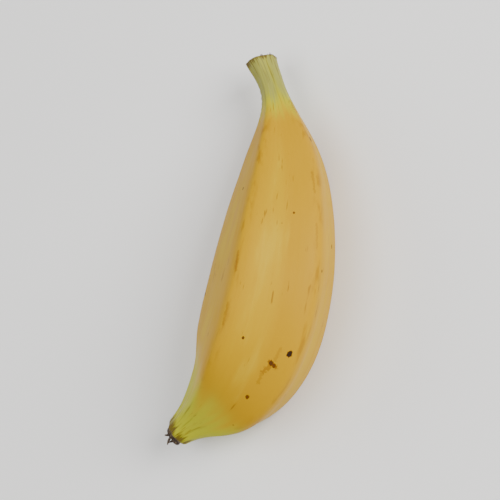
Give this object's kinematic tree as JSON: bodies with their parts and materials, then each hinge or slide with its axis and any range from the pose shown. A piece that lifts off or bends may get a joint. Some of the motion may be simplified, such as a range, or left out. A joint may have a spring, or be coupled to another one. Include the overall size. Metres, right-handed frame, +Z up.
{
  "type": "banana",
  "caption": "Small ripe banana lying on its side, a gently bent five-ridged fruit with a short cut stem and a dried blossom end.",
  "frame": {"origin": "middle of the bounding box, on the surface that the fruit rests on", "axes": "+X from blossom end to stem, -Y towards the outer side of the bend, +Z up"},
  "size_m": [0.1268, 0.0488, 0.0366],
  "materials": {
    "peel": "satin ripe yellow banana peel, greener towards both ends"
  },
  "bodies": {
    "root": {"banana": "peel"}
  },
  "joints": []
}
